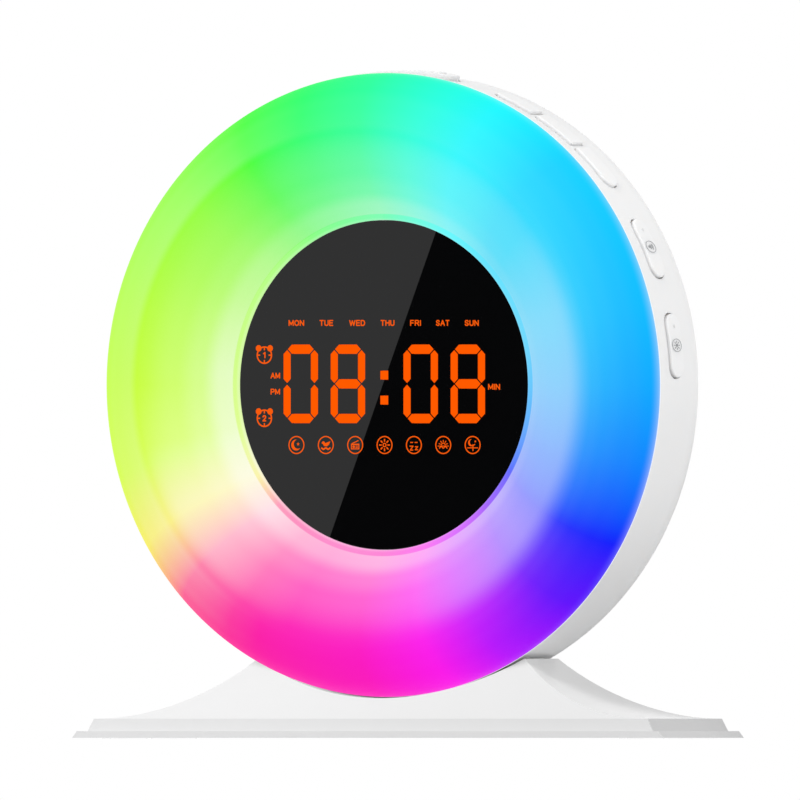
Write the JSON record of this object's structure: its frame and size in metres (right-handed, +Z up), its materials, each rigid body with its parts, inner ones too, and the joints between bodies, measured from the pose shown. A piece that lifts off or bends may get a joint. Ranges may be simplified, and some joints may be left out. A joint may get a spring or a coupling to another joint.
{
  "type": "sunrise alarm clock",
  "caption": "Wake-up light alarm clock: a glowing frosted ring round a black digital display, on a white drum with rim keys, held by a low cradle stand.",
  "frame": {"origin": "bottom centre of the whole clock, on the surface that it rests on", "axes": "+Z up, the display faces -Y, +X to the right as seen from the front"},
  "size_m": [0.1784, 0.0494, 0.1768],
  "materials": {
    "frosted_ring": "translucent frosted, lit from inside in all colours",
    "black_lens": "smoked, polished",
    "foam_tape": "matt foam",
    "lit_segments": "lit orange",
    "module_plastic": "moulded",
    "white_matt_plastic": "moulded, matt",
    "screw_steel": "zinc plated",
    "white_board": "white solder mask",
    "green_board": "green solder mask",
    "led_package": "clear encapsulant over a white cup",
    "chip_black": "moulded",
    "connector_nylon": "natural nylon",
    "white_housing": "smooth white",
    "white_keys": "smooth white",
    "silver_disc": "silver, finely turned",
    "speaker_steel": "pressed, zinc plated",
    "surround_rubber": "soft, matt",
    "speaker_paper": "black pressed paper",
    "magnet_ferrite": "dark, ground",
    "jack_black": "moulded",
    "contact_nickel": "nickel plated",
    "cell_steel": "fine",
    "white_stand": "polished white",
    "foot_rubber": "clear silicone, matt",
    "lead_black": "insulated wire",
    "lead_red": "insulated wire",
    "lead_white": "insulated wire"
  },
  "bodies": {
    "clock": {"diffuser_ring": "frosted_ring", "display_lens": "black_lens", "lens_tape": "foam_tape", "digit_segments": "lit_segments", "display_module": "module_plastic", "front_chassis": "white_matt_plastic", "ring_screws": "screw_steel", "led_board": "white_board", "ring_leds": "led_package", "led_board_screws": "screw_steel", "main_board": "green_board", "board_screws": "screw_steel", "board_chips": "chip_black", "board_connectors": "connector_nylon", "rear_housing": "white_housing", "housing_screws": "screw_steel", "key_carrier": "white_matt_plastic", "carrier_screws": "screw_steel", "key_board": "green_board", "key_switches": "chip_black", "speaker_gasket": "foam_tape", "speaker_frame": "speaker_steel", "speaker_surround": "surround_rubber", "speaker_cone": "speaker_paper", "speaker_magnet": "magnet_ferrite", "speaker_screws": "screw_steel", "dc_jack": "jack_black", "dc_jack_pin": "contact_nickel", "coin_cell": "cell_steel", "cell_contacts": "contact_nickel", "base_shell": "white_stand", "base_plate": "white_stand", "rubber_feet": "foot_rubber", "base_screws": "screw_steel", "saddle_pad": "foot_rubber", "saddle_screws": "screw_steel", "speaker_leads": "lead_black", "power_leads": "lead_red", "key_leads": "lead_white"},
    "snooze_button": {"snooze_bar": "white_keys"},
    "upper_button": {"upper_key": "white_keys"},
    "middle_button": {"middle_key": "white_keys"},
    "lower_button": {"lower_key": "white_keys"},
    "volume_button": {"volume_rocker": "white_keys", "volume_icon_disc": "silver_disc"},
    "light_button": {"light_rocker": "white_keys", "light_icon_disc": "silver_disc"},
    "door": {"battery_door": "white_housing"}
  },
  "joints": [
    {"name": "snooze_press", "type": "slide", "parent": "clock", "child": "snooze_button", "axis": [0, 0, -1], "range_m": [0, 0.0006], "stiffness_N_per_m": 1200, "springref_m": -0.0003},
    {"name": "upper_key_press", "type": "slide", "parent": "clock", "child": "upper_button", "axis": [-0.4155, 0, -0.9096], "range_m": [0, 0.0004], "stiffness_N_per_m": 1200, "springref_m": -0.0003},
    {"name": "middle_key_press", "type": "slide", "parent": "clock", "child": "middle_button", "axis": [-0.5686, 0, -0.8226], "range_m": [0, 0.0004], "stiffness_N_per_m": 1200, "springref_m": -0.0003},
    {"name": "lower_key_press", "type": "slide", "parent": "clock", "child": "lower_button", "axis": [-0.7108, 0, -0.7034], "range_m": [0, 0.0004], "stiffness_N_per_m": 1200, "springref_m": -0.0003},
    {"name": "volume_rocker_tilt", "type": "hinge", "parent": "clock", "child": "volume_button", "pos_m": [0.06861, 0.00105, 0.12744], "axis": [0, 1, 0], "range_deg": [-2, 2], "stiffness_Nm_per_rad": 0.28},
    {"name": "light_rocker_tilt", "type": "hinge", "parent": "clock", "child": "light_button", "pos_m": [0.07588, 0.00105, 0.10332], "axis": [0, 1, 0], "range_deg": [-2, 2], "stiffness_Nm_per_rad": 0.28},
    {"name": "battery_door_hinge", "type": "hinge", "parent": "clock", "child": "door", "pos_m": [0, 0.02255, 0.04665], "axis": [-1, 0, 0], "range_deg": [0, 80]}
  ]
}
